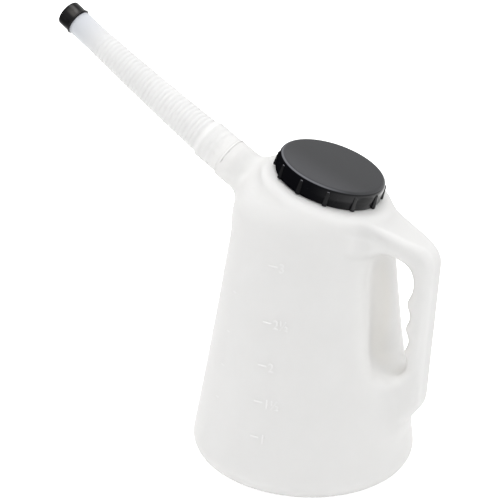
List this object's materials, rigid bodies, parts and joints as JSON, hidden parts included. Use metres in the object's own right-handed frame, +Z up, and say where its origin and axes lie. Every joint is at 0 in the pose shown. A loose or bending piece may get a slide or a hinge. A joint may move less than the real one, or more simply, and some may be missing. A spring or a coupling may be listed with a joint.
{
  "type": "oil measuring jug",
  "caption": "Blow-moulded measuring jug for pouring oil, with litre marks, a finger-grip handle, an inclined screw lid and a long flexible spout with a push-on cap.",
  "frame": {"origin": "centre of the base, on the ground that the jug stands on", "axes": "+Z up, -X towards the spout, +X towards the handle, -Y is the face with the litre marks"},
  "size_m": [0.3323, 0.1758, 0.329],
  "materials": {
    "natural_polyethylene": "milky natural polyethylene, satin",
    "spout_polyethylene": "milky natural polyethylene, satin",
    "black_lid": "black, fine satin top, glossy edge",
    "black_cap": "black, glossy",
    "seal": "dark rubber"
  },
  "bodies": {
    "jug": {"jug_body": "natural_polyethylene"},
    "lid_seal": {"lid_seal": "seal"},
    "lid": {"screw_lid": "black_lid"},
    "spout_seal": {"spout_seal": "seal"},
    "spout": {"flexible_spout": "spout_polyethylene"},
    "cap": {"spout_cap": "black_cap"}
  },
  "joints": [
    {"name": "lid_lift", "type": "slide", "parent": "jug", "child": "lid_seal", "axis": [0.29, 0, 0.957], "range_m": [0, 0.012]},
    {"name": "lid_turn", "type": "hinge", "parent": "lid_seal", "child": "lid", "pos_m": [0.00906, 0, 0.22135], "axis": [0.29, 0, 0.957], "range_deg": [0, 1080]},
    {"name": "spout_draw", "type": "slide", "parent": "jug", "child": "spout_seal", "axis": [-0.8643, 0, 0.503], "range_m": [0, 0.02]},
    {"name": "spout_turn", "type": "hinge", "parent": "spout_seal", "child": "spout", "pos_m": [-0.0978, 0, 0.2415], "axis": [-0.8643, 0, 0.503], "range_deg": [0, 1440]},
    {"name": "cap_pull", "type": "slide", "parent": "spout", "child": "cap", "axis": [-0.8384, 0, 0.545], "range_m": [0, 0.016]}
  ],
  "couplings": [
    {"joint": "lid_lift", "follows": "lid_turn", "m_per_rad": 0.00063662},
    {"joint": "spout_draw", "follows": "spout_turn", "m_per_rad": 0.00079577}
  ]
}
